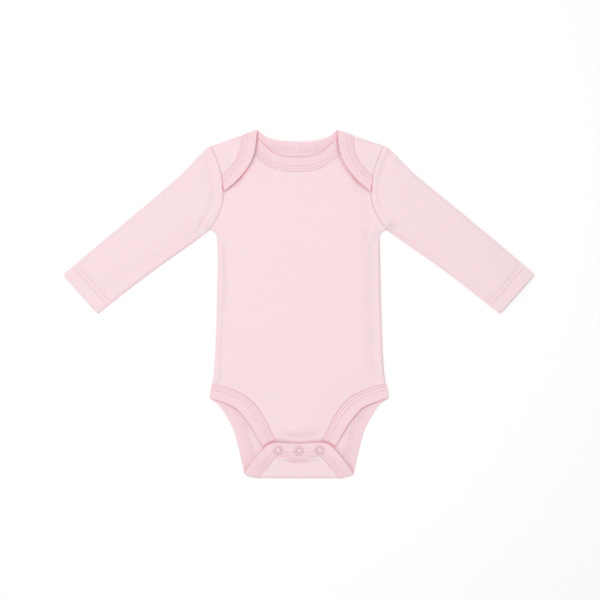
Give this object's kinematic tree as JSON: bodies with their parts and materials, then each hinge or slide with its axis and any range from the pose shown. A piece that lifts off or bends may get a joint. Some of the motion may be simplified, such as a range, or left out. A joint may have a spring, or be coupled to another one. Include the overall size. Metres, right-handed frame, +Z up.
{
  "type": "long-sleeved baby onesie laid flat",
  "caption": "Baby bodysuit laid flat: envelope neck with lapped shoulders, long sleeves, bound leg openings and a snapped crotch tail.",
  "frame": {"origin": "middle of the garment's outline, on the surface it lies on", "axes": "+Z up off that surface and out of the front, +Y from crotch to neck, +X towards the sleeve on the right as seen from above"},
  "size_m": [0.5644, 0.4163, 0.0075],
  "materials": {
    "cotton_interlock": "fine soft knit, matt",
    "cotton_binding": "the same knit, doubled and twin-needle stitched",
    "snap": "enamelled, satin"
  },
  "bodies": {
    "root": {"back_panel": "cotton_interlock", "front_panel": "cotton_interlock", "sleeve_left": "cotton_interlock", "sleeve_right": "cotton_interlock", "front_neck_band": "cotton_binding", "back_neck_band": "cotton_binding", "leg_band_front_left": "cotton_binding", "leg_band_front_right": "cotton_binding", "leg_band_back": "cotton_binding", "snap_ring_1": "snap", "snap_ring_2": "snap", "snap_ring_3": "snap", "snap_socket_1": "snap", "snap_socket_2": "snap", "snap_socket_3": "snap", "snap_stud_1": "snap", "snap_stud_2": "snap", "snap_stud_3": "snap"}
  },
  "joints": []
}
